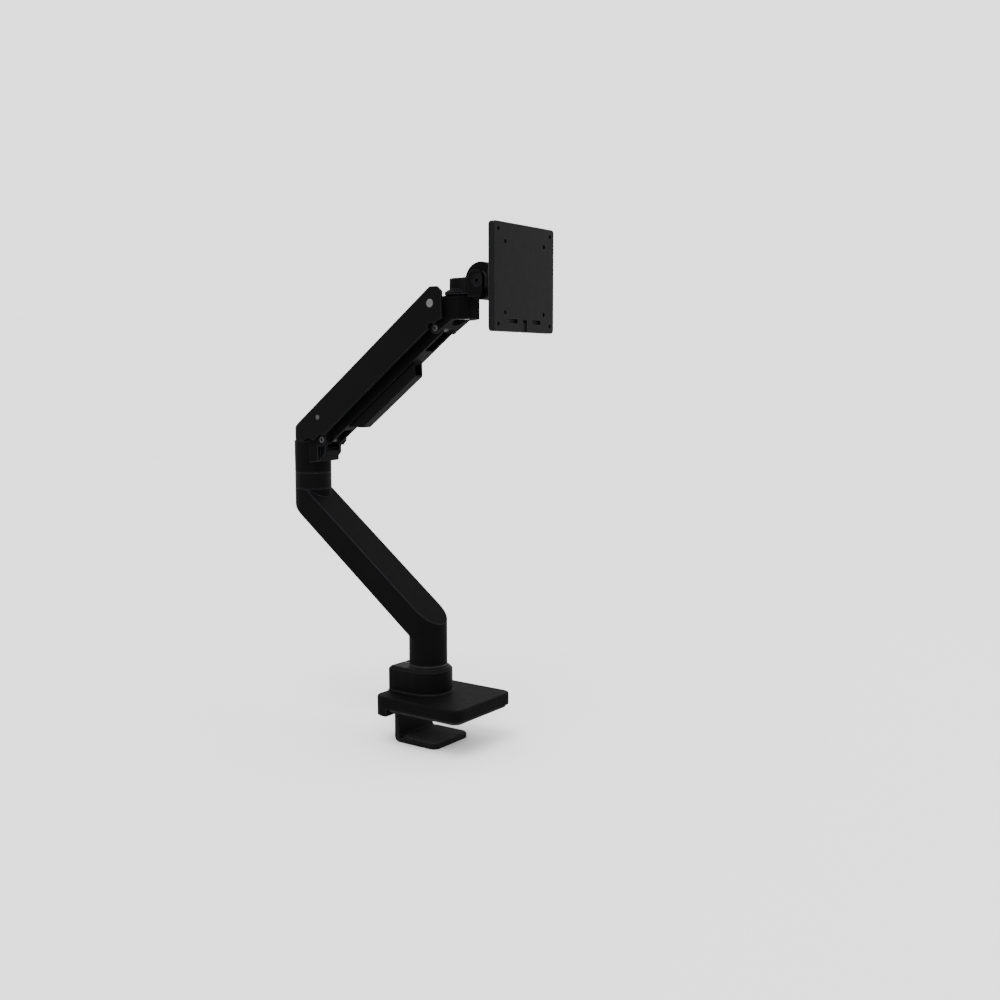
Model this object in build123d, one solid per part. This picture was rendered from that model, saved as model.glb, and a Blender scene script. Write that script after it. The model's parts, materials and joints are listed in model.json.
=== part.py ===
"""Gas-spring monitor arm with a desk clamp and a 75/100 mm display plate.

Frame: millimetres, +Z up, the display faces -Y, +X is the user's left-to-right along the desk edge.
The origin is on the post's axis, on the desk's top surface.
"""

import os
from math import atan2, cos, degrees, hypot, radians, sin, tan

from build123d import *

os.makedirs("parts", exist_ok=True)

# ---- driving dimensions ---------------------------------------------------------------------------
PAD = 3.0                     # desk pad thickness
PLATE_TOP = 18.0              # top of the base plate above the desk
PLATE_HALF = 55.3             # half width of the base plate
PLATE_FRONT, PLATE_REAR = -86.0, 40.5
PLATE_CORNER = 13.0           # radius of its corners in plan
LIP_BOTTOM, LIP_FRONT = -6.2, 20.5    # rear lip that hangs behind the desk edge
DESK_EDGE = 20.0              # Y of the desk's rear edge, where the bracket's leg stands
BRACKET_T, BRACKET_HALF = 6.0, 33.0
SLOT_TOP = 16.2               # roof of the plate's slot for the bracket's leg
TONGUE_HALF, TONGUE_TOP = 10.0, 25.5  # bracket's tongue, which carries the clamp nut
JAW_TOP, JAW_FRONT = -36.0, -36.5
JAW_PAD = 1.2
HOUSING_HALF, HOUSING_REAR, HOUSING_TOP = 29.3, 39.5, 48.7
POCKET_TOP = 39.5             # roof of the housing's pocket for the clamp
NECK_TOP = 50.5               # top of the cone under the lower arm
SCREW_Y, SCREW_R = 30.5, 3.0  # clamp screw
SCREW_SEAT = 43.7             # floor of the recess for its head
HOUSING_SCREWS = [(-19, -12), (19, -12)]
SMALL_SEAT, BOLT_SEAT = 8.0, 10.0     # seats of the screws and of the spindle bolt under the plate

TUBE_R = 23.0                 # radius of the post, the elbow and the beam's rounded ends
ARM_BOTTOM = 51.8             # underside of the lower arm
ARM_TOP = 254.0               # top rim of the lower arm at the elbow
ELBOW_Y = 187.0
BEAM_SLOPE = 37.1             # degrees
BEAM_DEPTH = 33.0             # across the slope
BEAM_TOP_AT_POST = 119.3      # height of the beam's top plane over the post's axis
SPINDLE_R, SPINDLE_TOP = 15.0, 96.0
BUSH_T = 2.0                  # wall of the swivel bushes
GRUB_HEIGHT, GRUB_R, GRUB_LENGTH = 72.0, 3.0, 7.0
GRUB_SIDE, GRUB_START = 54.7, 14.4    # degrees towards the front; radius where the grub screw starts
LOWER_COVER_Y = (38, 158)     # cable cover under the lower arm
LOWER_COVER_HALF = 12.0
ELBOW_SPINDLE_R, ELBOW_SPINDLE_BOTTOM, ELBOW_SPINDLE_TOP = 12.0, 226.0, 304.0
ELBOW_BOLT_R, ELBOW_BOLT_LENGTH = 4.0, 20.0
KNUCKLE_BOTTOM, KNUCKLE_TOP = 274.4, 314.5
SLEEVE_BOTTOM, SLEEVE_TOP = 254.4, 273.9

LINK_ANGLE = 36.7             # rise of the upper arm, at its upper stop
LINK_LENGTH = 224.0
REAR_PIVOT = (155.5, 345.0)   # (y, z) of the upper link's rear pivot
LOWER_PIVOT_OFFSET = (-2.5, -28.0)    # from an upper pivot to the lower one beside it
PIN_R = 4.0
COVER_HALF, COVER_WALL = 23.0, 3.0
COVER_TOP, COVER_EDGE = 14.0, -21.5   # cover's top and lower edge, across the link
COVER_RISE = 1.4              # how much higher the cover's top is at the front
BUSH_HOLE_R = 6.0             # blind holes for the bushes in the cover's sides
REAR_CAP_R, FRONT_CAP_R = 3.0, 4.8
EAR_HALF = 19.0               # outside of the rear knuckle's and the yoke's ears
LINK_HALF, LINK_INNER = 10.5, 8.0     # lower link's cheeks
LINK_BAR = 7.5                # half depth of the lower link
LINK_BUSH_R = 5.5
SPRING_ANCHOR_DROP = 14.0     # spring's rear pin under the rear pivot
SPRING_PIN_S = 155.0          # spring's front pin along the upper link
SPRING_R, SPRING_PIN_R = 7.5, 3.0
REAR_SPRING_PIN_R = 3.5
SPRING_ROD_R = 4.0
TUBE_START, TUBE_END = 22.0, 104.0    # spring's tube, measured from its rear pin
TENSION_Y = 169.5             # spring's tension screw
TENSION_R = 3.0

PAN_Y = -54.0                 # pan axis
PAN_R = 8.0
PAN_SEAT = 468.4              # roof of the pocket under the head, where the pan nut clamps
HEAD_HALF = 17.0
HEAD_BOTTOM, HEAD_TOP = 445.0, 487.0
TILT = (-88.0, 502.0)         # (y, z) of the tilt axis, and the display plate's centre height
TILT_R = 21.0
YOKE_INNER = 13.5             # half width between the yoke's ears
BOLT_HEAD_R, BOLT_HEAD_T = 6.3, 3.0   # tilt bolt's head, sunk in one ear
BARREL_HALF = 12.5
HUB_R, HUB_REAR, HUB_FRONT = 21.5, -101.5, -119.0
ROLL_R = 7.0
VESA_FRONT, VESA_T, VESA_HALF = -140.0, 8.4, 58.0
VESA_PITCHES = (75.0, 100.0)
VESA_HOLE_R = 2.5

FIT = 0.05                    # radial clearance of a running fit
GAP = 0.3                     # clearance between faces that move past each other

# ---- derived points -------------------------------------------------------------------------------
COS, SIN = cos(radians(LINK_ANGLE)), sin(radians(LINK_ANGLE))
FRONT_PIVOT = (REAR_PIVOT[0] - LINK_LENGTH * COS, REAR_PIVOT[1] + LINK_LENGTH * SIN)
REAR_LOWER = (REAR_PIVOT[0] + LOWER_PIVOT_OFFSET[0], REAR_PIVOT[1] + LOWER_PIVOT_OFFSET[1])
FRONT_LOWER = (FRONT_PIVOT[0] + LOWER_PIVOT_OFFSET[0], FRONT_PIVOT[1] + LOWER_PIVOT_OFFSET[1])
SPRING_REAR = (REAR_PIVOT[0], REAR_PIVOT[1] - SPRING_ANCHOR_DROP)
SPRING_FRONT = (REAR_PIVOT[0] - SPRING_PIN_S * COS, REAR_PIVOT[1] + SPRING_PIN_S * SIN)
SPRING_LENGTH = hypot(SPRING_FRONT[0] - SPRING_REAR[0], SPRING_FRONT[1] - SPRING_REAR[1])
SPRING_ANGLE = degrees(atan2(SPRING_FRONT[1] - SPRING_REAR[1], SPRING_REAR[0] - SPRING_FRONT[0]))
INNER_HALF = COVER_HALF - COVER_WALL
BEAM_RISE = tan(radians(BEAM_SLOPE))
BEAM_HEIGHT = BEAM_DEPTH / cos(radians(BEAM_SLOPE))
SPRING_DIRECTION = (0, -cos(radians(SPRING_ANGLE)), sin(radians(SPRING_ANGLE)))
GRUB_DIRECTION = (cos(radians(GRUB_SIDE)), -sin(radians(GRUB_SIDE)), 0)
GRUB_PLANE = Plane(origin=(GRUB_START * GRUB_DIRECTION[0], GRUB_START * GRUB_DIRECTION[1], GRUB_HEIGHT),
                   z_dir=GRUB_DIRECTION)


# ---- shape helpers --------------------------------------------------------------------------------
def rod(direction, radius, start, end, a, b):
    """Cylinder along X, Y or Z from start to end; a and b are its other two coordinates in X, Y, Z order."""
    origin = {"x": (start, a, b), "y": (a, start, b), "z": (a, b, start)}[direction]
    normal = {"x": (1, 0, 0), "y": (0, 1, 0), "z": (0, 0, 1)}[direction]
    align = (Align.CENTER, Align.CENTER, Align.MIN)
    return Plane(origin=origin, z_dir=normal) * Cylinder(radius, end - start, align=align)


def hexagon(direction, across, start, end, a, b):
    """Hexagonal prism, placed as rod is."""
    origin = {"x": (start, a, b), "y": (a, start, b), "z": (a, b, start)}[direction]
    normal = {"x": (1, 0, 0), "y": (0, 1, 0), "z": (0, 0, 1)}[direction]
    sketch = Plane(origin=origin, z_dir=normal) * RegularPolygon(across / 2, 6, major_radius=False)
    return extrude(sketch, amount=end - start, dir=normal)


def block(x0, x1, y0, y1, z0, z1):
    """Box between two corners."""
    return Pos(x0, y0, z0) * Box(x1 - x0, y1 - y0, z1 - z0, align=(Align.MIN, Align.MIN, Align.MIN))


def side_prism(points, x0, x1):
    """Outline in (y, z), from x0 to x1."""
    sketch = Plane(origin=(x0, 0, 0), x_dir=(0, 1, 0), z_dir=(1, 0, 0)) * Polygon(*points, align=None)
    return extrude(sketch, amount=x1 - x0, dir=(1, 0, 0))


def plan_prism(sketch, z0, z1):
    """Sketch in (x, y), from z0 to z1."""
    return extrude(Pos(0, 0, z0) * sketch, amount=z1 - z0, dir=(0, 0, 1))


def both_sides(shape):
    """Shape and its mirror image across the arm's middle plane."""
    return shape + mirror(shape, about=Plane.YZ)


def link_plane(pivot, x, angle=LINK_ANGLE):
    """Plane at a pivot: local x along the link towards the display, local y across it, upwards."""
    tilt = radians(angle)
    return Plane(origin=(x, pivot[0], pivot[1]), x_dir=(0, -cos(tilt), sin(tilt)), z_dir=(-1, 0, 0))


def link_prism(pivot, sketch, x0, x1, angle=LINK_ANGLE):
    """Sketch in a link's own (along, across) coordinates, from x0 to x1."""
    return extrude(link_plane(pivot, x1, angle) * sketch, amount=x1 - x0, dir=(-1, 0, 0))


def ring(direction, inner, outer, start, end, a, b):
    """Washer or bush."""
    return rod(direction, outer, start, end, a, b) - rod(direction, inner, start, end, a, b)


def beam_top(y):
    """Height of the lower arm's top plane."""
    return BEAM_TOP_AT_POST + BEAM_RISE * y


def beam_bottom(y):
    """Height of the lower arm's bottom plane."""
    return beam_top(y) - BEAM_HEIGHT


# ---- base -----------------------------------------------------------------------------------------
def plate_outline(margin=0.0):
    depth = PLATE_REAR - PLATE_FRONT
    centre = (PLATE_REAR + PLATE_FRONT) / 2
    return Pos(0, centre) * RectangleRounded(2 * (PLATE_HALF - margin), depth - 2 * margin, PLATE_CORNER - margin)


def base_plate():
    """Cast plate with a rear lip, hollowed from below, with a slot for the bracket."""
    plate = plan_prism(plate_outline(), PAD + GAP, PLATE_TOP)
    plate = fillet(plate.faces().sort_by(Axis.Z)[-1].edges(), 2)
    plate = chamfer(plate.faces().sort_by(Axis.Z)[0].edges(), 0.8)
    lip = plan_prism(plate_outline(), LIP_BOTTOM, PAD + 2)
    lip = lip & block(-PLATE_HALF, PLATE_HALF, LIP_FRONT, PLATE_REAR, LIP_BOTTOM, PAD + 2)
    plate += chamfer(lip.faces().sort_by(Axis.Z)[0].edges(), 1)
    leg_half = BRACKET_HALF + 0.5
    leg_rear = DESK_EDGE + BRACKET_T + 0.5
    plate -= block(-leg_half, leg_half, DESK_EDGE - 0.5, leg_rear, LIP_BOTTOM, SLOT_TOP)
    plate -= block(-TONGUE_HALF - 1, TONGUE_HALF + 1, DESK_EDGE - 0.5, HOUSING_REAR - 2, LIP_BOTTOM, PLATE_TOP)
    plate -= both_sides(block(13, PLATE_HALF - 6, PLATE_FRONT + 7, -24, PAD, PLATE_TOP - 5))
    plate -= both_sides(block(26, PLATE_HALF - 6, -19, 14, PAD, PLATE_TOP - 5))
    plate -= rod("z", 5.2, PAD, PLATE_TOP, 0, 0)
    plate -= rod("z", 9.5, PAD, BOLT_SEAT, 0, 0)
    for x, y in HOUSING_SCREWS:
        plate -= rod("z", 2.1, PAD, PLATE_TOP, x, y) + rod("z", 4, PAD, SMALL_SEAT, x, y)
    return plate


def housing_outline(grow):
    half = HOUSING_HALF + grow
    depth = HOUSING_REAR + grow
    tail = Pos(0, depth / 2) * Rectangle(2 * half, depth)
    tail = fillet(tail.vertices().group_by(Axis.Y)[-1], 3.5 + grow)
    return Circle(half) + tail


def base_housing():
    housing = plan_prism(housing_outline(0), PLATE_TOP, HOUSING_TOP)
    housing = chamfer(housing.faces().sort_by(Axis.Z)[-1].edges(), 3.2)
    plinth = plan_prism(housing_outline(1), PLATE_TOP, PLATE_TOP + 1.8)
    housing += chamfer(plinth.faces().sort_by(Axis.Z)[-1].edges(), 0.95)
    neck = Cone(25, 23, NECK_TOP - HOUSING_TOP, align=(Align.CENTER, Align.CENTER, Align.MIN))
    housing += Pos(0, 0, HOUSING_TOP) * neck
    housing -= rod("z", SPINDLE_R, PLATE_TOP, NECK_TOP, 0, 0)
    housing -= block(-21, 21, 17.4, HOUSING_REAR - 2, PLATE_TOP, POCKET_TOP)
    housing -= rod("z", SCREW_R + FIT, POCKET_TOP, HOUSING_TOP, 0, SCREW_Y)
    housing -= rod("z", 6.9, SCREW_SEAT, HOUSING_TOP, 0, SCREW_Y)
    for x, y in HOUSING_SCREWS:
        housing -= rod("z", 2, PLATE_TOP, 30, x, y)
    return housing


def post_spindle():
    """Shaft the lower arm swivels on, with a groove for the grub screw."""
    spindle = rod("z", SPINDLE_R, PLATE_TOP, SPINDLE_TOP, 0, 0)
    spindle = chamfer(spindle.faces().sort_by(Axis.Z)[-1].edges(), 1.5)
    spindle -= ring("z", 13.5, 16, GRUB_HEIGHT - 4, GRUB_HEIGHT + 4, 0, 0)
    return spindle - rod("z", 5, PLATE_TOP, 40, 0, 0)


def spindle_bolt():
    head = PAD + 0.5
    bolt = rod("z", 5, BOLT_SEAT - 0.1, 38, 0, 0) + hexagon("z", 16, head, BOLT_SEAT, 0, 0)
    return bolt - hexagon("z", 6, head, head + 3, 0, 0)


def housing_screws():
    head = SMALL_SEAT - 3.8
    screws = []
    for x, y in HOUSING_SCREWS:
        screw = rod("z", 2, SMALL_SEAT - 0.1, 28, x, y) + rod("z", 3.6, head, SMALL_SEAT, x, y)
        screws.append(screw - hexagon("z", 3, head, head + 1.8, x, y))
    return Compound(screws)


def post_washer():
    return ring("z", SPINDLE_R + GAP, 22.3, NECK_TOP, ARM_BOTTOM - GAP, 0, 0)


def desk_pad():
    outline = plate_outline(4) & Pos(0, -34) * Rectangle(2 * PLATE_HALF, 2 * (DESK_EDGE + 32))
    return plan_prism(outline, 0, PAD)


def clamp_bracket():
    """Bent steel plate: a jaw under the desk, a leg behind it and a tongue up into the housing."""
    rear = DESK_EDGE + BRACKET_T
    bottom = JAW_TOP - BRACKET_T
    leg = block(-BRACKET_HALF, BRACKET_HALF, DESK_EDGE, rear, bottom, 0)
    outline = Pos(0, (JAW_FRONT + rear) / 2) * Rectangle(2 * BRACKET_HALF, rear - JAW_FRONT)
    outline = fillet(outline.vertices().group_by(Axis.Y)[0], 8)
    bracket = leg + plan_prism(outline, bottom, JAW_TOP)
    bend = bracket.edges().filter_by(Axis.X).filter_by_position(Axis.Y, DESK_EDGE - 0.1, DESK_EDGE + 0.1)
    bracket = fillet(bend.sort_by(Axis.Z)[0], 3)
    heel = bracket.edges().filter_by(Axis.X).filter_by_position(Axis.Y, rear - 0.1, rear + 0.1)
    bracket = fillet(heel.sort_by(Axis.Z)[0], 7)
    return bracket + block(-TONGUE_HALF, TONGUE_HALF, DESK_EDGE, rear, -1, TONGUE_TOP)


def jaw_pad():
    outline = Pos(0, -9.2) * RectangleRounded(2 * BRACKET_HALF - 3, 52, 6.5)
    return plan_prism(outline, JAW_TOP, JAW_TOP + JAW_PAD)


def clamp_nut():
    low = TONGUE_TOP - 9
    nut = block(-8, 8, DESK_EDGE + BRACKET_T, SCREW_Y + 5, low, TONGUE_TOP)
    return nut - rod("z", SCREW_R + FIT, low, TONGUE_TOP, 0, SCREW_Y)


def clamp_screw():
    head = SCREW_SEAT + 0.2
    screw = rod("z", SCREW_R, -2, head + 1, 0, SCREW_Y) + rod("z", 6.3, head, HOUSING_TOP, 0, SCREW_Y)
    screw = chamfer(screw.faces().sort_by(Axis.Z)[-1].edges(), 0.5)
    return screw - hexagon("z", 5, head + 1.3, HOUSING_TOP, 0, SCREW_Y)


def clamp_clip():
    return ring("z", SCREW_R, 5.5, POCKET_TOP - 0.85, POCKET_TOP - 0.2, 0, SCREW_Y)


# ---- lower arm ------------------------------------------------------------------------------------
def lower_arm():
    """Casting: a sleeve on the post, a sloping beam and a round seat under the elbow."""
    end = ELBOW_Y + TUBE_R + 1
    start = -TUBE_R - 1
    capsule = Circle(TUBE_R) + Pos(0, ELBOW_Y / 2) * Rectangle(2 * TUBE_R, ELBOW_Y)
    capsule += Pos(0, ELBOW_Y) * Circle(TUBE_R)
    rim = (ARM_TOP - BEAM_TOP_AT_POST) / BEAM_RISE
    band = [(start, beam_bottom(start)), (end, beam_bottom(end)), (end, ARM_TOP), (rim, ARM_TOP),
            (start, beam_top(start))]
    beam = plan_prism(capsule, ARM_BOTTOM, ARM_TOP) & side_prism(band, -30, 30)
    under_top = [(start, ARM_BOTTOM), (-start, ARM_BOTTOM), (-start, beam_bottom(-start) + 10),
                 (start, beam_top(start))]
    arm = beam + (rod("z", TUBE_R, ARM_BOTTOM, ARM_TOP, 0, 0) & side_prism(under_top, -30, 30))
    arm += rod("z", TUBE_R, beam_bottom(end), ARM_TOP, 0, ELBOW_Y)
    sloped = arm.faces().filter_by(Plane.XY, reverse=True).filter_by(GeomType.PLANE)
    sloped = sloped.sort_by(SortBy.AREA)[-1].edges()
    arm = fillet(sloped, 2.5)
    arm -= rod("z", SPINDLE_R + BUSH_T, ARM_BOTTOM, SPINDLE_TOP + 2, 0, 0)
    arm -= rod("z", ELBOW_SPINDLE_R, ELBOW_SPINDLE_BOTTOM, ARM_TOP, 0, ELBOW_Y)
    arm -= GRUB_PLANE * Cylinder(GRUB_R, 12, align=(Align.CENTER, Align.CENTER, Align.MIN))
    front, rear = LOWER_COVER_Y
    channel = [(front + 4, beam_bottom(front + 4) - 1), (rear - 4, beam_bottom(rear - 4) - 1),
               (rear - 14, beam_bottom(rear - 14) + 18), (front - 6, beam_bottom(front - 6) + 18)]
    return arm - side_prism(channel, -10, 10) - cover_strip(LOWER_COVER_HALF, -1, 2.2)


def cover_strip(half, low, high):
    """Strip along the beam's underside between two depths above its bottom plane."""
    y0, y1 = LOWER_COVER_Y
    points = [(y0, beam_bottom(y0) + low), (y1, beam_bottom(y1) + low), (y1, beam_bottom(y1) + high),
              (y0, beam_bottom(y0) + high)]
    return side_prism(points, -half, half)


def lower_cable_cover():
    cover = cover_strip(LOWER_COVER_HALF, 0.1, 2.2)
    lips = cover_strip(9.9, 2.2, 6) - cover_strip(8.3, 2.2, 6)
    keep = block(-12, 12, LOWER_COVER_Y[0] + 12, LOWER_COVER_Y[1] - 16, 0, 300)
    return cover + (lips & keep)


def post_bushes():
    outer = SPINDLE_R + BUSH_T
    lower = ring("z", SPINDLE_R + FIT, outer, ARM_BOTTOM + 1, GRUB_HEIGHT - 8, 0, 0)
    upper = ring("z", SPINDLE_R + FIT, outer, GRUB_HEIGHT + 12, SPINDLE_TOP, 0, 0)
    return Compound([lower, upper])


def post_grub_screw():
    screw = Cylinder(GRUB_R, GRUB_LENGTH, align=(Align.CENTER, Align.CENTER, Align.MIN))
    socket = Pos(0, 0, GRUB_LENGTH - 3) * RegularPolygon(1.5, 6, major_radius=False)
    return GRUB_PLANE * (screw - extrude(socket, amount=3, dir=(0, 0, 1)))


def elbow_spindle():
    spindle = rod("z", ELBOW_SPINDLE_R, ELBOW_SPINDLE_BOTTOM, ELBOW_SPINDLE_TOP, 0, ELBOW_Y)
    return spindle - rod("z", ELBOW_BOLT_R, ELBOW_SPINDLE_TOP - 22, ELBOW_SPINDLE_TOP, 0, ELBOW_Y)


def elbow_bolt_washer():
    return ring("z", ELBOW_BOLT_R + 0.2, 13.5, ELBOW_SPINDLE_TOP, ELBOW_SPINDLE_TOP + 1.5, 0, ELBOW_Y)


def elbow_bolt():
    top = ELBOW_SPINDLE_TOP + 1.5
    bolt = rod("z", ELBOW_BOLT_R, ELBOW_SPINDLE_TOP - ELBOW_BOLT_LENGTH, top, 0, ELBOW_Y)
    bolt += rod("z", 6.5, top, top + 5, 0, ELBOW_Y)
    return bolt - hexagon("z", 5, top + 2, top + 5, 0, ELBOW_Y)


# ---- elbow ----------------------------------------------------------------------------------------
def elbow_sleeve():
    sleeve = ring("z", 18, TUBE_R, SLEEVE_BOTTOM, SLEEVE_TOP + 0.5, 0, ELBOW_Y)
    return sleeve - ring("z", TUBE_R - 0.4, TUBE_R + 1, SLEEVE_TOP - 0.3, SLEEVE_TOP + 0.5, 0, ELBOW_Y)


def elbow_knuckle():
    y_a, z_a = REAR_PIVOT
    y_b, z_b = REAR_LOWER
    knuckle = rod("z", TUBE_R, KNUCKLE_BOTTOM, KNUCKLE_TOP, 0, ELBOW_Y)
    knuckle = chamfer(knuckle.faces().sort_by(Axis.Z)[0].edges(), 0.4)
    head = [(199, KNUCKLE_TOP - 4), (199, 321), (163, 348), (y_a, z_a), (y_a - 9, z_a - 5), (y_b - 6.5, z_b),
            (151.5, 308), (151.5, 300), (161, 289.5), (185, 286)]
    knuckle += side_prism(head, -EAR_HALF, EAR_HALF) & (
        rod("z", 21.4, 280, 360, 0, ELBOW_Y) + block(-EAR_HALF, EAR_HALF, 130, ELBOW_Y, 280, 360))
    knuckle += rod("x", 9.8, -EAR_HALF, EAR_HALF, y_a, z_a) + rod("x", 6.8, -EAR_HALF, EAR_HALF, y_b, z_b)
    slot_half = LINK_HALF + 0.5
    knuckle -= block(-slot_half, slot_half, 130, 180, 306, 370)
    knuckle -= block(-slot_half, slot_half, 130, 156, 302.5, 307)
    knuckle -= both_sides(block(14.5, EAR_HALF + 1, 130, 160, 280, 309))
    knuckle -= rod("z", ELBOW_SPINDLE_R + BUSH_T, KNUCKLE_BOTTOM, KNUCKLE_TOP - 2, 0, ELBOW_Y)
    knuckle -= rod("x", PIN_R, -EAR_HALF, EAR_HALF, y_a, z_a)
    knuckle -= rod("x", PIN_R, -EAR_HALF, EAR_HALF, y_b, z_b)
    knuckle -= rod("x", REAR_SPRING_PIN_R, -EAR_HALF + 3, EAR_HALF - 3, *SPRING_REAR)
    return knuckle - rod("z", TENSION_R, 296, 345, 0, TENSION_Y)


def elbow_bushes():
    outer = ELBOW_SPINDLE_R + BUSH_T
    lower = ring("z", ELBOW_SPINDLE_R + FIT, outer, KNUCKLE_BOTTOM + 0.6, 285, 0, ELBOW_Y)
    upper = ring("z", ELBOW_SPINDLE_R + FIT, outer, 292, 303, 0, ELBOW_Y)
    return Compound([lower, upper])


def cross_pin(pivot, half, radius=PIN_R, socket=True):
    """Pin across the arm with a hexagon socket at each end."""
    pin = rod("x", radius, -half, half, *pivot)
    pin = chamfer(pin.edges().filter_by(GeomType.CIRCLE), 0.4)
    if socket:
        pin -= hexagon("x", radius, half - 2, half, *pivot) + hexagon("x", radius, -half, -half + 2, *pivot)
    return pin


def spring_anchor():
    """Carriage that holds the spring's rear pin and rides on the tension screw."""
    y, z = SPRING_REAR
    body = block(-7.6, 7.6, y - 5.5, TENSION_Y + 6, z - 6, z + 6)
    body -= block(-4.4, 4.4, y - 10, y + 8.5, z - 7, z + 7)
    body -= rod("x", REAR_SPRING_PIN_R, -12, 12, y, z)
    return body - rod("z", TENSION_R, z - 7, z + 7, 0, TENSION_Y)


def tension_screw():
    screw = rod("z", TENSION_R, 297, 341.5, 0, TENSION_Y)
    screw += rod("z", 5, 338, 341.5, 0, TENSION_Y)
    return screw - hexagon("z", 4, 339, 341.5, 0, TENSION_Y)


# ---- upper arm ------------------------------------------------------------------------------------
def cover_side_outline():
    """Side of the upper cover, in the upper link's own coordinates."""
    notch_rear = (LOWER_PIVOT_OFFSET[1] * SIN, LOWER_PIVOT_OFFSET[1] * COS)
    points = [(-48.5, COVER_TOP), (235, COVER_TOP + COVER_RISE), (243, 9.5), (245, 1), (227, -24), (216, COVER_EDGE),
              (-6, COVER_EDGE - 2), (-10, -18.5), (-24, -18), (-28.5, -10.5), (-39, -8.5), (-55, 4), (-51, 12)]
    outline = Polygon(*points, align=None)
    rounded = [v for v in outline.vertices() if v.X > 240 or v.X < -50]
    outline = fillet(rounded, 2.2)
    upper = [v for v in outline.vertices() if 233 < v.X < 237 and v.Y > 5]
    outline = fillet(upper, 6)
    outline -= Pos(notch_rear[0] - 2.0 * COS, notch_rear[1] - 2.0 * SIN) * Circle(5.2)
    return outline - Pos(LINK_LENGTH + notch_rear[0] + 1.5, notch_rear[1] - 0.5) * Circle(5.4)


def upper_cover():
    wall = link_prism(REAR_PIVOT, cover_side_outline(), INNER_HALF, COVER_HALF)
    cover = both_sides(wall)
    front = LINK_LENGTH - 7
    front_top = COVER_TOP + COVER_RISE * (front + 48.5) / (235 + 48.5)
    top = Polygon((-48.5, COVER_TOP - 3), (-48.5, COVER_TOP), (front, front_top), (front, front_top - 3), align=None)
    cover += link_prism(REAR_PIVOT, top, -COVER_HALF, COVER_HALF)
    tail = Polygon((-51, 12), (-48.5, COVER_TOP), (-46.5, COVER_TOP), (-46.5, 10.8), (-52.5, 3.5), (-55, 4),
                   align=None)
    cover += link_prism(REAR_PIVOT, tail, -COVER_HALF, COVER_HALF)
    cover = cover & plan_prism(rounded_tail(), 280, 520)
    for along in (30, 75, 115, 185):
        rib = Polygon((along, COVER_TOP - 3.5), (along, 8.6), (along + 2, 8.6), (along + 2, COVER_TOP - 3.5),
                      align=None)
        cover += link_prism(REAR_PIVOT, rib, -INNER_HALF - 0.5, INNER_HALF + 0.5)
    for pivot, cap in ((REAR_PIVOT, REAR_CAP_R), (FRONT_PIVOT, FRONT_CAP_R)):
        cover -= rod("x", BUSH_HOLE_R, -COVER_HALF + 1, COVER_HALF - 1, *pivot)
        cover -= rod("x", cap, -COVER_HALF - 1, COVER_HALF + 1, *pivot)
    return cover - rod("x", SPRING_PIN_R, -COVER_HALF + 1.2, COVER_HALF - 1.2, *SPRING_FRONT)


def rounded_tail():
    """Plan limit of the cover: straight sides with a rounded rear end."""
    rear = 203.0
    front = -60.0
    limit = Pos(0, (rear + front) / 2) * Rectangle(2 * COVER_HALF, rear - front)
    return fillet(limit.vertices().group_by(Axis.Y)[-1], 14)


def upper_link_bushes():
    bushes = []
    for pivot in (REAR_PIVOT, FRONT_PIVOT):
        for side in (-1, 1):
            start, end = sorted((side * (INNER_HALF + 0.1), side * (COVER_HALF - 1)))
            bushes.append(ring("x", PIN_R + FIT, BUSH_HOLE_R, start, end, *pivot))
    return Compound(bushes)


def pin_caps(pivot, radius):
    """Domed caps that close the cover's pivot holes."""
    cap = rod("x", radius, COVER_HALF - 0.9, COVER_HALF + 0.4, *pivot)
    cap = fillet(cap.faces().sort_by(Axis.X)[-1].edges(), 0.3)
    return Compound([cap, mirror(cap, about=Plane.YZ)])


def lower_link():
    """Channel that opens upwards, with a fork at each end."""
    length = LINK_LENGTH
    side = Pos(length / 2, 0) * SlotCenterToCenter(length, 2 * LINK_BAR)
    link = both_sides(link_prism(REAR_LOWER, side, LINK_INNER, LINK_HALF))
    floor = Polygon((30, -LINK_BAR), (length - 34, -LINK_BAR), (length - 34, -LINK_BAR + 2.5),
                    (30, -LINK_BAR + 2.5), align=None)
    link += link_prism(REAR_LOWER, floor, -LINK_INNER, LINK_INNER)
    for pivot in (REAR_LOWER, FRONT_LOWER):
        link -= rod("x", LINK_BUSH_R, -LINK_HALF, LINK_HALF, *pivot)
    return link


def lower_link_bushes():
    bushes = []
    for pivot in (REAR_LOWER, FRONT_LOWER):
        for side in (-1, 1):
            start, end = sorted((side * LINK_INNER, side * LINK_HALF))
            bushes.append(ring("x", PIN_R + FIT, LINK_BUSH_R, start, end, *pivot))
    return Compound(bushes)


def upper_cable_cover():
    """Open-ended channel that hangs under the lower link and carries the cables."""
    top, bottom = -LINK_BAR, -LINK_BAR - 14.2
    outer = Polygon((38, top), (170, top), (160, bottom), (56, bottom), align=None)
    shell = link_prism(REAR_LOWER, outer, -7.5, 7.5)
    inner = Polygon((44, top - 1.8), (190, top - 1.8), (190, bottom + 1.8), (58, bottom + 1.8), align=None)
    return shell - link_prism(REAR_LOWER, inner, -5.7, 5.7)


# ---- gas spring -----------------------------------------------------------------------------------
def along_spring(radius, start, end, inner=0.0):
    """Round piece on the spring's axis, measured from its rear pin."""
    plane = Plane(origin=(0, *SPRING_REAR), x_dir=(1, 0, 0), z_dir=SPRING_DIRECTION).offset(start)
    piece = plane * Cylinder(radius, end - start, align=(Align.CENTER, Align.CENTER, Align.MIN))
    if inner:
        piece -= plane * Cylinder(inner, end - start, align=(Align.CENTER, Align.CENTER, Align.MIN))
    return piece


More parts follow.
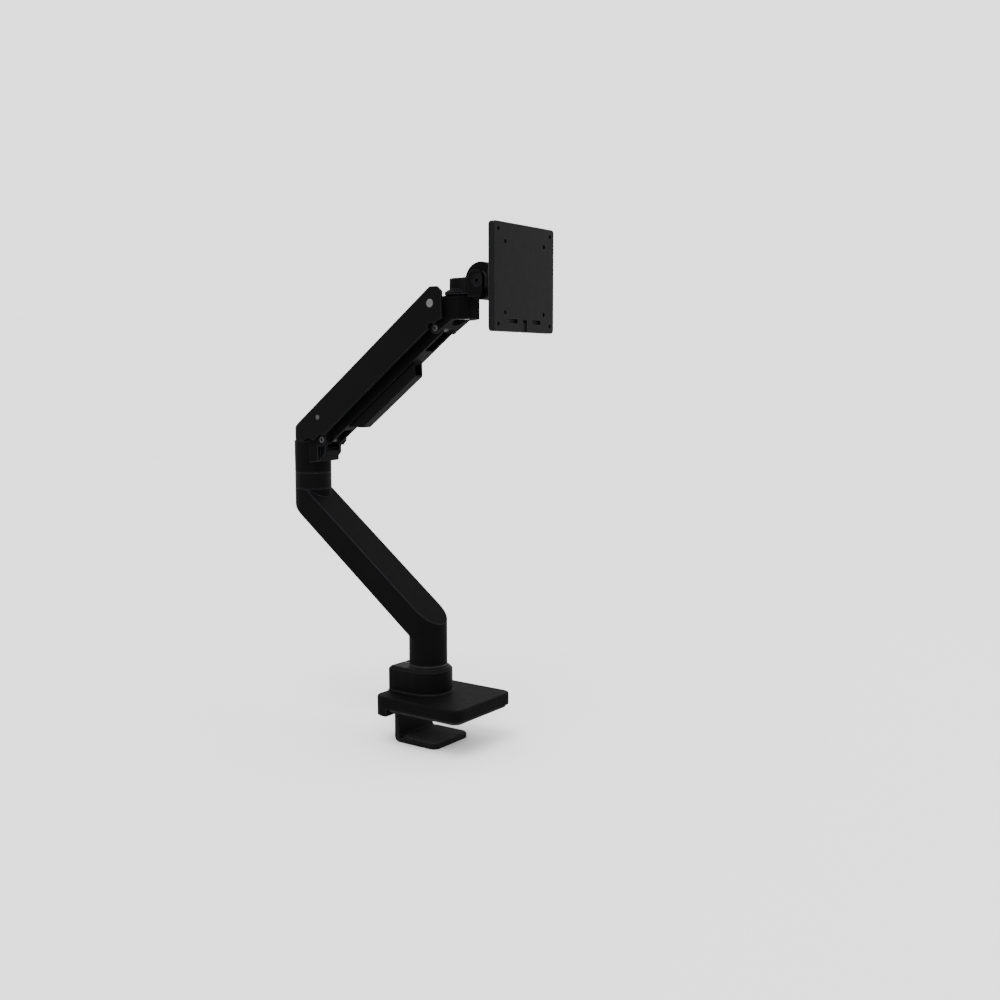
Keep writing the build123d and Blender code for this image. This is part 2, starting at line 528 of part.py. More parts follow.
def spring_cylinder():
    cylinder = along_spring(SPRING_R, TUBE_START, TUBE_END - 3) - along_spring(6, TUBE_START + 4, TUBE_END)
    cylinder += along_spring(3.6, 4, TUBE_START + 1) + rod("x", 6, -4, 4, *SPRING_REAR)
    return cylinder - rod("x", REAR_SPRING_PIN_R + FIT, -4, 4, *SPRING_REAR)


def spring_gland():
    bore = SPRING_ROD_R + FIT
    return along_spring(6, TUBE_END - 9, TUBE_END - 3, bore) + along_spring(7.3, TUBE_END - 3, TUBE_END, bore)


def spring_piston():
    return along_spring(6 - FIT, 58, 65, SPRING_ROD_R)


def spring_rod():
    return along_spring(SPRING_ROD_R, 56, SPRING_LENGTH - 8)


def spring_rod_eye():
    eye = rod("x", 9, -4, 4, *SPRING_FRONT) + along_spring(5.5, SPRING_LENGTH - 20, SPRING_LENGTH - 7)
    eye -= along_spring(SPRING_ROD_R, SPRING_LENGTH - 20, SPRING_LENGTH - 8)
    return eye - rod("x", SPRING_PIN_R + 3.6, -4, 4, *SPRING_FRONT)


# ---- head -----------------------------------------------------------------------------------------
def head_knuckle():
    y_c, z_c = FRONT_PIVOT
    y_d, z_d = FRONT_LOWER
    plan = Polygon((-HEAD_HALF, 0), (-HEAD_HALF, -60), (-9, -71.5), (9, -71.5), (HEAD_HALF, -60), (HEAD_HALF, 0),
                   align=None)
    plan = fillet([v for v in plan.vertices() if v.Y < -50], 2)
    side = [(y_c + 4, z_c + 4), (-38, HEAD_TOP), (-72, HEAD_TOP), (-72, 460.5), (-51, 459.5),
            (y_d - 7, HEAD_BOTTOM + 3), (y_d, HEAD_BOTTOM - 0.5), (y_d + 6.5, z_d)]
    body = plan_prism(plan, 430, 500) & side_prism(side, -20, 20)
    body = chamfer(body.faces().sort_by(Axis.Z)[-1].edges(), 1.7)
    body += rod("x", 9.3, -EAR_HALF, EAR_HALF, y_c, z_c) + rod("x", 6.6, -HEAD_HALF, HEAD_HALF, y_d, z_d)
    slot_half = LINK_HALF + 0.5
    body -= block(-slot_half, slot_half, y_d - 9.5, 0, 430, 500)
    body -= rod("x", PIN_R, -EAR_HALF, EAR_HALF, y_c, z_c) + rod("x", PIN_R, -EAR_HALF, EAR_HALF, y_d, z_d)
    bush_seat = PAN_SEAT + 3
    body -= rod("z", PAN_R + 2.5, bush_seat, HEAD_TOP, 0, PAN_Y)
    body -= rod("z", PAN_R + 0.4, PAN_SEAT, bush_seat, 0, PAN_Y)
    return body - rod("z", 12.5, 430, PAN_SEAT, 0, PAN_Y)


def pan_bush():
    return ring("z", PAN_R + FIT, PAN_R + 2.5, PAN_SEAT + 3.5, HEAD_TOP, 0, PAN_Y)


def pan_washer():
    return ring("z", PAN_R + 0.4, 13, HEAD_TOP, HEAD_TOP + 0.7, 0, PAN_Y)


def swivel_yoke():
    """Fork that pans on the head and carries the tilt bolt between its ears."""
    y, z = TILT
    low, high = HEAD_TOP + 1, HEAD_TOP + 19.5
    plan = Polygon((-15, PAN_Y), (15, PAN_Y), (15, -62), (EAR_HALF, -72), (EAR_HALF, -80), (-EAR_HALF, -80),
                   (-EAR_HALF, -72), (-15, -62), align=None)
    yoke = rod("z", 15, low, high, 0, PAN_Y) + plan_prism(plan, low, high)
    yoke = chamfer(yoke.faces().sort_by(Axis.Z)[-1].edges(), 1)
    collar = Cone(20.5, 15.5, 3, align=(Align.CENTER, Align.CENTER, Align.MIN))
    yoke += rod("z", 20.5, low, low + 3, 0, PAN_Y) + Pos(0, PAN_Y, low + 3) * collar
    ear = Plane(origin=(YOKE_INNER, 0, 0), x_dir=(0, 1, 0), z_dir=(1, 0, 0)) * Polygon(
        (-75, low - 4), (-95, low - 4), (-95, low + 26), (-75, low + 26), align=None)
    ear = fillet(ear.vertices().group_by(Axis.Z)[-1], 9)
    ear = fillet([v for v in ear.vertices() if v.Z < low and v.Y < -90], 7)
    ear = extrude(ear, amount=EAR_HALF - YOKE_INNER, dir=(1, 0, 0))
    ear = fillet(ear.faces().sort_by(Axis.X)[-1].edges(), 1)
    yoke += both_sides(ear)
    yoke -= rod("x", TILT_R + 0.6, -YOKE_INNER, YOKE_INNER, y, z) + rod("z", PAN_R - 1, low, low + 12, 0, PAN_Y)
    yoke -= rod("x", BOLT_HEAD_R, -EAR_HALF, -EAR_HALF + BOLT_HEAD_T, y, z)
    return yoke - rod("x", PIN_R, -EAR_HALF, EAR_HALF, y, z)


def pan_spindle():
    low = HEAD_TOP + 1
    spindle = rod("z", PAN_R, PAN_SEAT - 7.9, low, 0, PAN_Y) + rod("z", PAN_R - 1, low, low + 12, 0, PAN_Y)
    return chamfer(spindle.faces().sort_by(Axis.Z)[0].edges(), 1)


def pan_nut():
    low, high = PAN_SEAT - 7.5, PAN_SEAT - 2.4
    return hexagon("z", 19, low, high, 0, PAN_Y) - rod("z", PAN_R, low, high, 0, PAN_Y)


def pan_nut_washer():
    return ring("z", PAN_R, 11.5, PAN_SEAT - 2.4, PAN_SEAT - 0.4, 0, PAN_Y)


def tilt_bolt():
    face = -EAR_HALF + 0.2
    bolt = rod("x", PIN_R, face, EAR_HALF + 4, *TILT) + rod("x", BOLT_HEAD_R, face, -EAR_HALF + BOLT_HEAD_T, *TILT)
    bolt = chamfer(bolt.faces().sort_by(Axis.X)[0].edges(), 0.4)
    return bolt - hexagon("x", 4, face, face + 2.2, *TILT)


def tilt_nut():
    return hexagon("x", 12, EAR_HALF, EAR_HALF + 4.5, *TILT) - rod("x", PIN_R, EAR_HALF, EAR_HALF + 4.5, *TILT)


def tilt_block():
    """Barrel between the yoke's ears and the hub the display plate rolls on."""
    y, z = TILT
    barrel = rod("x", TILT_R, -BARREL_HALF, BARREL_HALF, y, z)
    neck = block(-BARREL_HALF, BARREL_HALF, HUB_REAR - 1, y, z - 15, z + 15)
    hub = rod("y", HUB_R, HUB_FRONT, HUB_REAR, 0, z)
    hub = chamfer(hub.faces().sort_by(Axis.Y)[-1].edges(), 1.5)
    head = barrel + neck + hub - rod("x", PIN_R + FIT, -BARREL_HALF, BARREL_HALF, y, z)
    return head - rod("y", 5, HUB_FRONT, HUB_REAR - 1, 0, z)


def tilt_washers():
    washer = ring("x", PIN_R + FIT, 11, BARREL_HALF, BARREL_HALF + 0.7, *TILT)
    return Compound([washer, mirror(washer, about=Plane.YZ)])


def roll_washer():
    return ring("y", ROLL_R + 0.5, 17, HUB_FRONT - 1, HUB_FRONT, 0, TILT[1])


def roll_bolt():
    z = TILT[1]
    bolt = rod("y", 5, HUB_FRONT, HUB_REAR - 2, 0, z) + rod("y", ROLL_R, HUB_FRONT - 7.6, HUB_FRONT, 0, z)
    bolt += rod("y", 12, HUB_FRONT - 11, HUB_FRONT - 7.6, 0, z)
    return bolt - hexagon("y", 8, HUB_FRONT - 11, HUB_FRONT - 8.5, 0, z)


# ---- display plate --------------------------------------------------------------------------------
def upright_plate(half, radius, front, thickness):
    """Square plate with rounded corners across the roll axis; its front face is at y = front."""
    sketch = Plane(origin=(0, front, TILT[1]), x_dir=(1, 0, 0), z_dir=(0, 1, 0)) * RectangleRounded(
        2 * half, 2 * half, radius)
    return extrude(sketch, amount=thickness, dir=(0, 1, 0))


def roll_plate():
    z = TILT[1]
    back = VESA_FRONT + VESA_T
    plate = upright_plate(39, 8, HUB_FRONT - 7, 5.7)
    rail = block(33, 38, back, HUB_FRONT - 6, z - 30, z + 30)
    plate += both_sides(rail)
    return plate - rod("y", ROLL_R + FIT, HUB_FRONT - 8, HUB_FRONT - 1, 0, z)


def vesa_plate():
    z = TILT[1]
    back = VESA_FRONT + VESA_T
    plate = upright_plate(VESA_HALF, 4, VESA_FRONT, VESA_T)
    plate = fillet(plate.faces().sort_by(Axis.Y)[0].edges(), 1)
    plate = chamfer(plate.faces().sort_by(Axis.Y)[-1].edges(), 1)
    plate -= upright_plate(28, 6, back - 1.5, 3)
    for pitch in VESA_PITCHES:
        for x in (-pitch / 2, pitch / 2):
            for dz in (-pitch / 2, pitch / 2):
                plate -= rod("y", VESA_HOLE_R, VESA_FRONT, back, x, z + dz)
    slot = block(14, 31, VESA_FRONT, VESA_FRONT + 3, z - 49, z - 44)
    plate -= both_sides(slot)
    plate -= block(-4, 4, VESA_FRONT, back, z - VESA_HALF, z - 44)
    return plate - block(-6.5, 6.5, VESA_FRONT + 3, back, z - 56, z - 33)


def latch():
    z = TILT[1]
    tab = block(-3.6, 3.6, VESA_FRONT + 1.5, VESA_FRONT + 4, z - 57.5, z - 48)
    return tab + block(-6, 6, VESA_FRONT + 3.3, VESA_FRONT + 5.6, z - 51.5, z - 46)


def latch_spring():
    z = TILT[1]
    return rod("z", 1.6, z - 46, z - 33, 0, VESA_FRONT + 4.8)


# ---- output ---------------------------------------------------------------------------------------
PARTS = {
    "base_plate": base_plate(),
    "base_housing": base_housing(),
    "post_spindle": post_spindle(),
    "spindle_bolt": spindle_bolt(),
    "housing_screws": housing_screws(),
    "post_washer": post_washer(),
    "desk_pad": desk_pad(),
    "clamp_bracket": clamp_bracket(),
    "jaw_pad": jaw_pad(),
    "clamp_nut": clamp_nut(),
    "clamp_screw": clamp_screw(),
    "clamp_clip": clamp_clip(),
    "lower_arm": lower_arm(),
    "lower_cable_cover": lower_cable_cover(),
    "post_bushes": post_bushes(),
    "post_grub_screw": post_grub_screw(),
    "elbow_spindle": elbow_spindle(),
    "elbow_bolt_washer": elbow_bolt_washer(),
    "elbow_bolt": elbow_bolt(),
    "elbow_sleeve": elbow_sleeve(),
    "elbow_knuckle": elbow_knuckle(),
    "elbow_bushes": elbow_bushes(),
    "rear_upper_pin": cross_pin(REAR_PIVOT, COVER_HALF - 1.2),
    "rear_lower_pin": cross_pin(REAR_LOWER, EAR_HALF),
    "spring_anchor": spring_anchor(),
    "spring_rear_pin": cross_pin(SPRING_REAR, EAR_HALF - 3.2, 3.5, socket=False),
    "tension_screw": tension_screw(),
    "upper_cover": upper_cover(),
    "upper_link_bushes": upper_link_bushes(),
    "rear_pin_caps": pin_caps(REAR_PIVOT, REAR_CAP_R),
    "front_pin_caps": pin_caps(FRONT_PIVOT, FRONT_CAP_R),
    "spring_front_pin": cross_pin(SPRING_FRONT, COVER_HALF - 1.2, SPRING_PIN_R, socket=False),
    "lower_link": lower_link(),
    "lower_link_bushes": lower_link_bushes(),
    "upper_cable_cover": upper_cable_cover(),
    "spring_cylinder": spring_cylinder(),
    "spring_gland": spring_gland(),
    "spring_rod": spring_rod(),
    "spring_piston": spring_piston(),
    "spring_rod_eye": spring_rod_eye(),
    "head_knuckle": head_knuckle(),
    "front_upper_pin": cross_pin(FRONT_PIVOT, COVER_HALF - 1.2),
    "front_lower_pin": cross_pin(FRONT_LOWER, HEAD_HALF),
    "pan_bush": pan_bush(),
    "pan_washer": pan_washer(),
    "swivel_yoke": swivel_yoke(),
    "pan_spindle": pan_spindle(),
    "pan_nut": pan_nut(),
    "pan_nut_washer": pan_nut_washer(),
    "tilt_bolt": tilt_bolt(),
    "tilt_nut": tilt_nut(),
    "tilt_block": tilt_block(),
    "tilt_washers": tilt_washers(),
    "roll_washer": roll_washer(),
    "roll_bolt": roll_bolt(),
    "roll_plate": roll_plate(),
    "vesa_plate": vesa_plate(),
    "latch": latch(),
    "latch_spring": latch_spring(),
}

for name, shape in PARTS.items():
    export_step(shape, f"parts/{name}.step")
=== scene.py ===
"""Looks of the monitor arm: materials, edge rounding, small detail, studio floor, lights and camera.

Lengths are metres in the part's own frame: +Z up, the display faces -Y, and the origin is on the post's
axis at the desk's top.
"""
import json
from math import cos, pi, radians, sin

import bpy
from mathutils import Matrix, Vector


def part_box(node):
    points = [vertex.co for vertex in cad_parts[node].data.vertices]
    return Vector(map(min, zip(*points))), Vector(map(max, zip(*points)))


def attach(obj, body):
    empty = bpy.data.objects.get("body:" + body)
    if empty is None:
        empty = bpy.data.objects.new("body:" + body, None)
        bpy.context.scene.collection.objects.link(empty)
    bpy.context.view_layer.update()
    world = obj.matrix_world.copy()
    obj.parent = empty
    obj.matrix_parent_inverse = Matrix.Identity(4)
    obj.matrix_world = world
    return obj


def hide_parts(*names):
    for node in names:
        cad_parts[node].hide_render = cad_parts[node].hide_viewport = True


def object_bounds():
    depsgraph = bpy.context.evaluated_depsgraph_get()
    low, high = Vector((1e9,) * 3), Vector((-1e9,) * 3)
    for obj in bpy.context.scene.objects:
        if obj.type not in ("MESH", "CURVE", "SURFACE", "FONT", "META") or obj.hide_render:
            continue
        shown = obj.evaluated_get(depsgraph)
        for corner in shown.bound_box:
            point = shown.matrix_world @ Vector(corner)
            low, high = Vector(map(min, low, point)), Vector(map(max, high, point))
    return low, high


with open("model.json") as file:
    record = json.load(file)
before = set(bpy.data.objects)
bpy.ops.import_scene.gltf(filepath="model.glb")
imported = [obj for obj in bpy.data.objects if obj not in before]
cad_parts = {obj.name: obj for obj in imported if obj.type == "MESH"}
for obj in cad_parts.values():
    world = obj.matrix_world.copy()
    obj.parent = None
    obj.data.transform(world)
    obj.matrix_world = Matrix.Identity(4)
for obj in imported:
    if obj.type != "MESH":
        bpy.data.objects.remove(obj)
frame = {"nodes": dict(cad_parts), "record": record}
cad_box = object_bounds()
MM = 0.001

# ---- camera and studio ------------------------------------------------------------------------------
CAMERA_PLACE = (-1.0748, -0.8718, 0.3989)
CAMERA_PITCH = 83.82          # degrees from straight down
CAMERA_YAW = -54.54
CAMERA_LENS = 42.03           # millimetres, like SENSOR
SENSOR = 36.0
FLOOR_HALF = 14.0
FLOOR_DROP = 0.2 * MM         # gap under the part
FLOOR_COLOUR = (0.72, 0.72, 0.72)
WORLD_STRENGTH = 2.2
OVERHEAD_DIRECTION = (-0.45, -0.15, 0.88)
OVERHEAD_STRENGTH = 3.0
OVERHEAD_SOFTNESS = 35        # degrees
KEY_PLACE = (0.4, -1.9, 1.7)
KEY_SIZE = 1.2
KEY_POWER = 12


def add_camera():
    data = bpy.data.cameras.new("camera")
    data.lens = CAMERA_LENS
    data.sensor_width = SENSOR
    camera = bpy.data.objects.new("camera", data)
    camera.location = CAMERA_PLACE
    camera.rotation_euler = (radians(CAMERA_PITCH), 0, radians(CAMERA_YAW))
    bpy.context.scene.collection.objects.link(camera)
    bpy.context.scene.camera = camera


def add_floor():
    """Pale floor just under the clamp's jaw."""
    level = cad_box[0].z - FLOOR_DROP
    corners = [(-FLOOR_HALF, -FLOOR_HALF, level), (FLOOR_HALF, -FLOOR_HALF, level),
               (FLOOR_HALF, FLOOR_HALF, level), (-FLOOR_HALF, FLOOR_HALF, level)]
    mesh = bpy.data.meshes.new("floor")
    mesh.from_pydata(corners, [], [(0, 1, 2, 3)])
    floor = bpy.data.objects.new("floor", mesh)
    bpy.context.scene.collection.objects.link(floor)
    material = bpy.data.materials.new("floor")
    material.use_nodes = True
    shader = material.node_tree.nodes["Principled BSDF"]
    shader.inputs["Base Color"].default_value = (*FLOOR_COLOUR, 1)
    shader.inputs["Roughness"].default_value = 0.95
    shader.inputs["Specular IOR Level"].default_value = 0.2
    mesh.materials.append(material)


def add_light(name, place, size, power):
    """Square soft light aimed at the middle of the object, itself unseen."""
    data = bpy.data.lights.new(name, "AREA")
    data.energy = power
    data.size = size
    light = bpy.data.objects.new(name, data)
    light.location = place
    middle = (cad_box[0] + cad_box[1]) / 2
    light.rotation_euler = (Vector(place) - middle).to_track_quat("Z", "Y").to_euler()
    light.visible_camera = False
    bpy.context.scene.collection.objects.link(light)


def add_overhead(direction, strength, softness):
    """Large soft source overhead, as wide as softness degrees; direction points from the object to it."""
    data = bpy.data.lights.new("overhead", "SUN")
    data.energy = strength
    data.angle = radians(softness)
    light = bpy.data.objects.new("overhead", data)
    light.rotation_euler = Vector(direction).to_track_quat("Z", "Y").to_euler()
    bpy.context.scene.collection.objects.link(light)


def add_world(strength):
    world = bpy.data.worlds.new("studio")
    world.use_nodes = True
    background = world.node_tree.nodes["Background"]
    background.inputs["Color"].default_value = (1, 1, 1, 1)
    background.inputs["Strength"].default_value = strength
    bpy.context.scene.world = world


# ---- edges ------------------------------------------------------------------------------------------
CASTING_EDGE = 0.6 * MM
EDGE_WIDTHS = {
    "pad_foam": 0.4 * MM, "bright_steel": 0.3 * MM, "zinc_steel": 0.25 * MM, "black_oxide": 0.25 * MM,
    "pin_grey": 0.2 * MM, "cap_silver": 0.2 * MM, "bush_pom": 0.15 * MM,
}
WIDE_EDGES = {"lower_arm": 2.0 * MM, "base_housing": 1.2 * MM}
WELD_DISTANCE = 0.002 * MM
FLAT_ANGLE = 0.5              # degrees between facets that are merged
SHARP_ANGLE = 30              # degrees from which an edge is rounded


def edge_width(node, slot):
    """Radius for a piece: its own, its slot's, or the castings'."""
    return WIDE_EDGES.get(node, EDGE_WIDTHS.get(slot, CASTING_EDGE))


def round_edges(node, width):
    """Small real radius along a piece's sharp edges."""
    piece = frame["nodes"][node]
    weld = piece.modifiers.new("weld", "WELD")
    weld.merge_threshold = WELD_DISTANCE
    flat = piece.modifiers.new("merge_flats", "DECIMATE")
    flat.decimate_type = "DISSOLVE"
    flat.angle_limit = radians(FLAT_ANGLE)
    bevel = piece.modifiers.new("round_edges", "BEVEL")
    bevel.width = width
    bevel.segments = 2
    bevel.limit_method = "ANGLE"
    bevel.angle_limit = radians(SHARP_ANGLE)
    normals = piece.modifiers.new("normals", "WEIGHTED_NORMAL")
    normals.keep_sharp = True


# ---- material helpers -------------------------------------------------------------------------------
def new_material(name, colour, roughness, metallic=0.0, specular=0.5):
    """Material with a Principled shader; returns the material, its node tree and the shader."""
    material = bpy.data.materials.new(name)
    material.use_nodes = True
    shader = material.node_tree.nodes["Principled BSDF"]
    shader.inputs["Base Color"].default_value = (*colour, 1)
    shader.inputs["Roughness"].default_value = roughness
    shader.inputs["Metallic"].default_value = metallic
    shader.inputs["Specular IOR Level"].default_value = specular
    return material, material.node_tree, shader


def noise(tree, size, detail=2.0, stretch=(1, 1, 1)):
    """Noise whose features are about size metres across, in the piece's own coordinates."""
    place = tree.nodes.new("ShaderNodeTexCoord")
    mapping = tree.nodes.new("ShaderNodeMapping")
    mapping.inputs["Scale"].default_value = stretch
    texture = tree.nodes.new("ShaderNodeTexNoise")
    texture.inputs["Scale"].default_value = 1 / size
    texture.inputs["Detail"].default_value = detail
    tree.links.new(place.outputs["Object"], mapping.inputs["Vector"])
    tree.links.new(mapping.outputs["Vector"], texture.inputs["Vector"])
    return texture.outputs["Fac"]


def cells(tree, size):
    """Distance to the nearest of scattered points size metres apart."""
    place = tree.nodes.new("ShaderNodeTexCoord")
    texture = tree.nodes.new("ShaderNodeTexVoronoi")
    texture.inputs["Scale"].default_value = 1 / size
    tree.links.new(place.outputs["Object"], texture.inputs["Vector"])
    return texture.outputs["Distance"]


def spread(tree, value, low, high, start=0.3, end=0.7):
    """Value stretched from start..end to low..high."""
    node = tree.nodes.new("ShaderNodeMapRange")
    node.inputs["From Min"].default_value = start
    node.inputs["From Max"].default_value = end
    node.inputs["To Min"].default_value = low
    node.inputs["To Max"].default_value = high
    tree.links.new(value, node.inputs["Value"])
    return node.outputs["Result"]


def combine(tree, operation, first, second):
    """Two values added, multiplied and so on; the second may be a number."""
    node = tree.nodes.new("ShaderNodeMath")
    node.operation = operation
    tree.links.new(first, node.inputs[0])
    if isinstance(second, (int, float)):
        node.inputs[1].default_value = second
    else:
        tree.links.new(second, node.inputs[1])
    return node.outputs["Value"]


def mix_colours(tree, factor, first, second):
    """Colour between first and second; either may be an RGB triple or another node's output."""
    node = tree.nodes.new("ShaderNodeMix")
    node.data_type = "RGBA"
    tree.links.new(factor, node.inputs[0])
    for socket, colour in ((node.inputs[6], first), (node.inputs[7], second)):
        if isinstance(colour, tuple):
            socket.default_value = (*colour, 1)
        else:
            tree.links.new(colour, socket)
    return node.outputs[2]


def shade(colour, factor):
    return tuple(channel * factor for channel in colour)


def edge_mask(tree, radius):
    """1 along sharp edges, 0 on flats, from how far a rounded normal leans away from the true one."""
    rounded = tree.nodes.new("ShaderNodeBevel")
    rounded.samples = 6
    rounded.inputs["Radius"].default_value = radius
    true = tree.nodes.new("ShaderNodeNewGeometry")
    lean = tree.nodes.new("ShaderNodeVectorMath")
    lean.operation = "DOT_PRODUCT"
    tree.links.new(rounded.outputs["Normal"], lean.inputs[0])
    tree.links.new(true.outputs["Normal"], lean.inputs[1])
    return spread(tree, lean.outputs["Value"], 1.0, 0.0, 0.90, 0.995)


def bump(tree, shader, height, depth):
    """Relief of the given depth in metres."""
    node = tree.nodes.new("ShaderNodeBump")
    node.inputs["Strength"].default_value = 1.0
    node.inputs["Distance"].default_value = depth
    tree.links.new(height, node.inputs["Height"])
    tree.links.new(node.outputs["Normal"], shader.inputs["Normal"])


# ---- materials --------------------------------------------------------------------------------------
COAT_BLACK = (0.0015, 0.0015, 0.0017)


def painted_black(name, colour, roughness, grain, depth, specular, highlight_gain=8.0, edge=1.2 * MM):
    """Black coat: fine relief, uneven gloss, handling smudges, and smoother edges that are painted paler as
    a painted highlight.

    grain and depth are the relief's, highlight_gain is how much paler the painted edge highlight is, edge is
    how far the painted highlight reaches.
    """
    material, tree, shader = new_material(name, colour, roughness, specular=specular)
    broad = noise(tree, 38 * MM, 3)
    smudge = noise(tree, 7 * MM, 4, (1, 1, 0.45))
    fine = noise(tree, grain, 2)
    # Painted highlight: near sharp edges the colour is painted paler (the coat colour scaled up) to stand in
    # for light caught along them, its strength varied by the smudge noise; the same mask also makes the
    # edges smoother.
    edge_highlight_mask = combine(tree, "MULTIPLY", edge_mask(tree, edge), spread(tree, smudge, 0.45, 1.0))
    uneven = mix_colours(tree, spread(tree, broad, 0, 1), shade(colour, 0.82), shade(colour, 1.18))
    speckled = mix_colours(tree, spread(tree, fine, 0, 0.35), uneven, shade(colour, 1.5))
    tree.links.new(mix_colours(tree, edge_highlight_mask, speckled, shade(colour, highlight_gain)), shader.inputs["Base Color"])
    gloss = combine(tree, "ADD", spread(tree, smudge, roughness - 0.035, roughness + 0.035),
                    spread(tree, broad, -0.025, 0.025))
    gloss = combine(tree, "SUBTRACT", gloss, combine(tree, "MULTIPLY", edge_highlight_mask, 0.07))
    tree.links.new(gloss, shader.inputs["Roughness"])
    relief = combine(tree, "ADD", fine, combine(tree, "MULTIPLY", noise(tree, 3.2 * grain, 1), 0.6))
    bump(tree, shader, relief, depth)
    return material


def cast_coat(name):
    """Powder coat on castings, with a faint orange peel."""
    return painted_black(name, COAT_BLACK, 0.66, 0.8 * MM, 0.020 * MM, specular=0.022, highlight_gain=11.0,
                         edge=2.0 * MM)


def housing_paint(name):
    """Smoother paint on the housing, cover and link."""
    return painted_black(name, shade(COAT_BLACK, 0.9), 0.58, 0.6 * MM, 0.012 * MM, specular=0.03, highlight_gain=10.0,
                         edge=1.6 * MM)


def plate_coat(name):
    """Satin coat on the display plate."""
    return painted_black(name, shade(COAT_BLACK, 1.9), 0.54, 0.6 * MM, 0.014 * MM, specular=0.05, highlight_gain=5.0)


def steel_coat(name):
    """Coat on the bent bracket, a little glossier than the castings."""
    return painted_black(name, shade(COAT_BLACK, 1.5), 0.55, 0.5 * MM, 0.012 * MM, specular=0.05)


def spring_enamel(name):
    """Glossier enamel on the gas spring's tube."""
    return painted_black(name, shade(COAT_BLACK, 0.8), 0.28, 1.6 * MM, 0.006 * MM, specular=0.5, highlight_gain=1.6)


def moulded_plastic(name):
    """Spark-eroded texture of a moulded cover."""
    material, tree, shader = new_material(name, COAT_BLACK, 0.62, specular=0.035)
    texture = noise(tree, 0.35 * MM, 2)
    broad = noise(tree, 25 * MM, 2)
    tint = mix_colours(tree, spread(tree, broad, 0, 1), shade(COAT_BLACK, 0.9), shade(COAT_BLACK, 1.25))
    tree.links.new(tint, shader.inputs["Base Color"])
    gloss = combine(tree, "ADD", spread(tree, broad, 0.58, 0.66), spread(tree, texture, -0.03, 0.03))
    tree.links.new(gloss, shader.inputs["Roughness"])
    bump(tree, shader, texture, 0.015 * MM)
    return material


def foam_rubber(name):
    """Closed-cell pad with open pores on its cut face."""
    material, tree, shader = new_material(name, (0.012, 0.012, 0.0125), 0.92, specular=0.08)
    pores = cells(tree, 0.9 * MM)
    fine = noise(tree, 0.4 * MM, 3)
    dark, pale = (0.006, 0.006, 0.0065), (0.018, 0.018, 0.0185)
    tint = mix_colours(tree, spread(tree, pores, 0, 1, 0.1, 0.6), dark, pale)
    tree.links.new(tint, shader.inputs["Base Color"])
    tree.links.new(spread(tree, fine, 0.86, 0.97), shader.inputs["Roughness"])
    bump(tree, shader, combine(tree, "ADD", pores, combine(tree, "MULTIPLY", fine, 0.5)), 0.12 * MM)
    return material


def turned_steel(name):
    """Bright shaft with fine turning marks round it and light handling stains."""
    colour = (0.58, 0.58, 0.57)
    material, tree, shader = new_material(name, colour, 0.24, metallic=1.0)
    marks = noise(tree, 0.22 * MM, 2, (0.04, 0.04, 1))
    stain = noise(tree, 9 * MM, 4)
    tree.links.new(mix_colours(tree, spread(tree, stain, 0, 1), shade(colour, 0.86), shade(colour, 1.08)),
                   shader.inputs["Base Color"])
    tree.links.new(combine(tree, "ADD", spread(tree, stain, 0.19, 0.30), spread(tree, marks, -0.03, 0.05)),
                   shader.inputs["Roughness"])
    bump(tree, shader, marks, 0.003 * MM)
    return material


def plated_steel(name, colour, roughness, blotch):
    """Plated fastener: small patches of slightly different tint and gloss."""
    material, tree, shader = new_material(name, colour, roughness, metallic=1.0)
    patch = noise(tree, blotch, 3)
    fine = noise(tree, 0.3 * MM, 2)
    tree.links.new(mix_colours(tree, spread(tree, patch, 0, 1), shade(colour, 0.8), shade(colour, 1.12)),
                   shader.inputs["Base Color"])
    tree.links.new(combine(tree, "ADD", spread(tree, patch, roughness - 0.05, roughness + 0.06),
                           spread(tree, fine, -0.03, 0.03)), shader.inputs["Roughness"])
    bump(tree, shader, fine, 0.004 * MM)
    return material


def zinc_plate(name):
    return plated_steel(name, (0.52, 0.52, 0.50), 0.34, 2.2 * MM)


def black_oxide(name):
    return plated_steel(name, (0.006, 0.006, 0.0065), 0.50, 3 * MM)


def dark_nickel(name):
    return plated_steel(name, (0.05, 0.05, 0.05), 0.42, 2.5 * MM)


def satin_silver(name):
    return plated_steel(name, (0.10, 0.10, 0.10), 0.46, 2 * MM)


def acetal(name):
    """Dense dark plastic of the bushes and washers, faintly waxy."""
    colour = (0.008, 0.008, 0.0085)
    material, tree, shader = new_material(name, colour, 0.38, specular=0.25)
    cloud = noise(tree, 4 * MM, 3)
    fine = noise(tree, 0.25 * MM, 2)
    tree.links.new(mix_colours(tree, spread(tree, cloud, 0, 1), shade(colour, 0.85), shade(colour, 1.2)),
                   shader.inputs["Base Color"])
    tree.links.new(spread(tree, cloud, 0.34, 0.44), shader.inputs["Roughness"])
    bump(tree, shader, fine, 0.004 * MM)
    return material


FINISHES = {
    "black_cast": cast_coat, "black_housing": housing_paint, "black_plate": plate_coat,
    "black_steel": steel_coat, "black_plastic": moulded_plastic, "pad_foam": foam_rubber,
    "bright_steel": turned_steel, "zinc_steel": zinc_plate, "black_oxide": black_oxide,
    "pin_grey": dark_nickel, "cap_silver": satin_silver, "bush_pom": acetal, "spring_paint": spring_enamel,
}
materials = {slot: build(slot) for slot, build in FINISHES.items()}


def finish_nodes():
    """Every CAD node gets its slot's finish and edge radius."""
    for subpart in frame["record"]["subparts"]:
        node, slot = subpart["node"], subpart["material_slot"]
        for place in frame["nodes"][node].material_slots:
            place.material = materials[slot]
        round_edges(node, edge_width(node, slot))


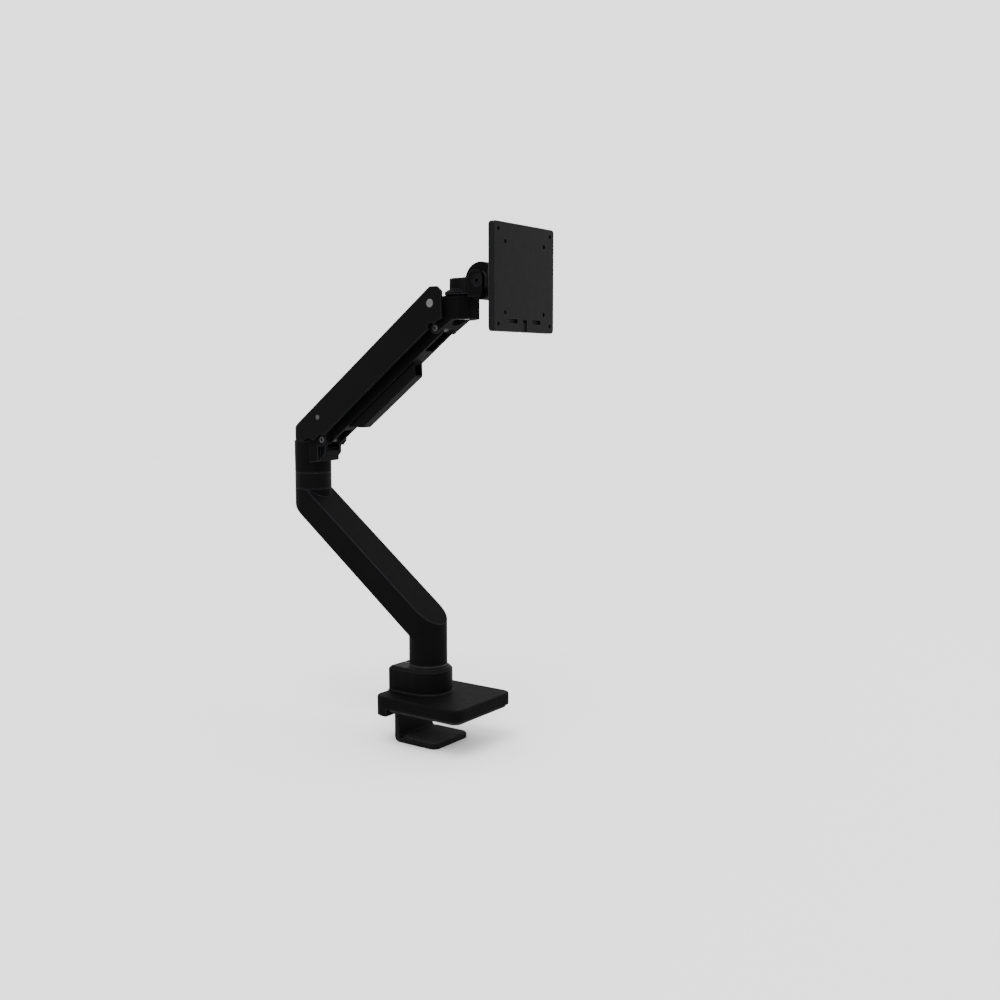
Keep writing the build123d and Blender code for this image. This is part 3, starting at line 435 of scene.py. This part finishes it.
# ---- small detail that replaces plain CAD stand-ins --------------------------------------------------
SPRING_WIRE = 0.22 * MM       # radius of the latch spring's wire
SPRING_TURNS = 9
TURN_STEPS = 24
CLOSED_PITCH = 2.1 * SPRING_WIRE    # rise of an end turn that lies on the next


def wire_piece(name, points, radius, body, node, slot):
    """Round wire along a smooth run of points, turned into a mesh."""
    curve = bpy.data.curves.new(name, "CURVE")
    curve.dimensions = "3D"
    curve.bevel_depth = radius
    curve.bevel_resolution = 3
    curve.use_fill_caps = True
    spline = curve.splines.new("POLY")
    spline.points.add(len(points) - 1)
    for place, point in zip(spline.points, points):
        place.co = (*point, 1)
    helper = bpy.data.objects.new(name + "_curve", curve)
    mesh = bpy.data.meshes.new_from_object(helper)
    bpy.data.objects.remove(helper)
    mesh.name = name
    for face in mesh.polygons:
        face.use_smooth = True
    mesh.materials.clear()
    mesh.materials.append(materials[slot])
    piece = bpy.data.objects.new(name, mesh)
    bpy.context.scene.collection.objects.link(piece)
    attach(piece, body)
    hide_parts(node)


def add_latch_spring():
    """Helical compression spring in place of the plain cylinder, its end turns closed."""
    low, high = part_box("latch_spring")
    middle = (low + high) / 2
    radius = (high.x - low.x) / 2 - SPRING_WIRE
    open_height = high.z - low.z - 2 * SPRING_WIRE - 2 * CLOSED_PITCH
    points = []
    for step in range(SPRING_TURNS * TURN_STEPS + 1):
        turn = step / TURN_STEPS
        closed = min(turn, 1) + max(turn - (SPRING_TURNS - 1), 0)
        rise = min(max((turn - 1) / (SPRING_TURNS - 2), 0), 1)
        height = low.z + SPRING_WIRE + closed * CLOSED_PITCH + rise * open_height
        angle = 2 * pi * turn
        points.append((middle.x + radius * cos(angle), middle.y + radius * sin(angle), height))
    wire_piece("latch_spring_coil", points, SPRING_WIRE, "display_plate", "latch_spring", "zinc_steel")


add_camera()
add_floor()
add_world(WORLD_STRENGTH)
add_overhead(OVERHEAD_DIRECTION, OVERHEAD_STRENGTH, OVERHEAD_SOFTNESS)
add_light("key", KEY_PLACE, KEY_SIZE, KEY_POWER)
finish_nodes()
add_latch_spring()
